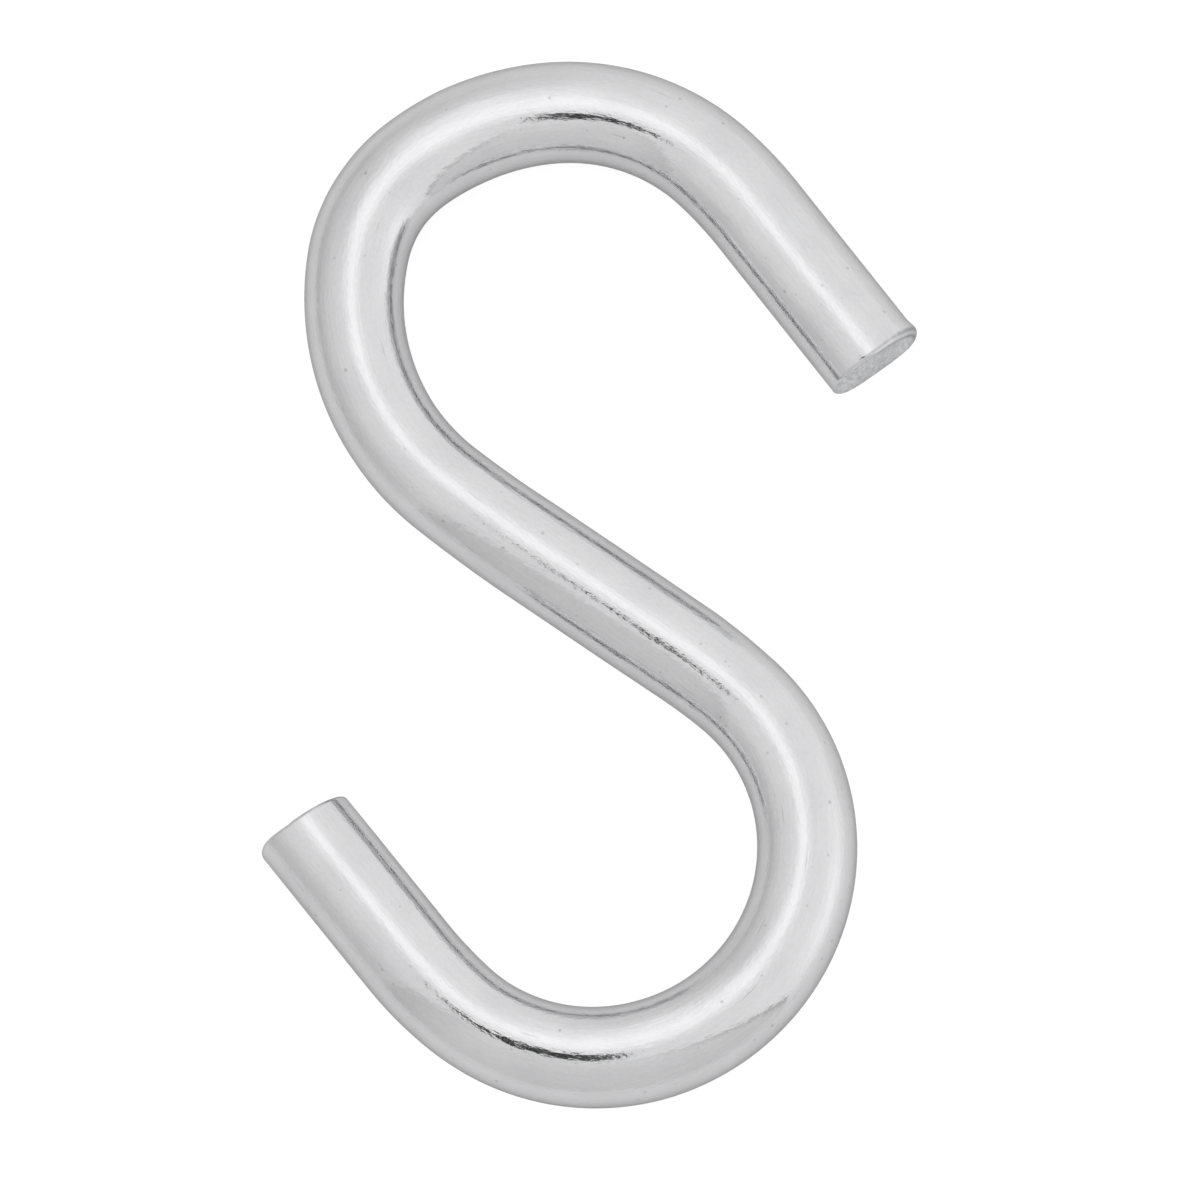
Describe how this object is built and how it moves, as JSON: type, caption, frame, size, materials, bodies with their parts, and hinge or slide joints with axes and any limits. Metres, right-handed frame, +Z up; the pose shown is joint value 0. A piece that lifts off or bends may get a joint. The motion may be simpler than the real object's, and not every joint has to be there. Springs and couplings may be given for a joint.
{
  "type": "s hook",
  "caption": "Open S-shaped hook of round zinc-plated steel wire, with a hook at each end to hang one thing from another.",
  "frame": {"origin": "middle of the bounding box in X and Y, on the surface that the hook lies on", "axes": "+Z up, square to the plane of the S; +Y along the S's length, towards the upper hook; +X towards the upper hook's open end"},
  "size_m": [0.0402, 0.0658, 0.0063],
  "materials": {
    "zinc_plated_steel": "bright zinc plate over drawn wire, clear passivated, with fine draw lines"
  },
  "bodies": {
    "root": {"s_hook": "zinc_plated_steel"}
  },
  "joints": []
}
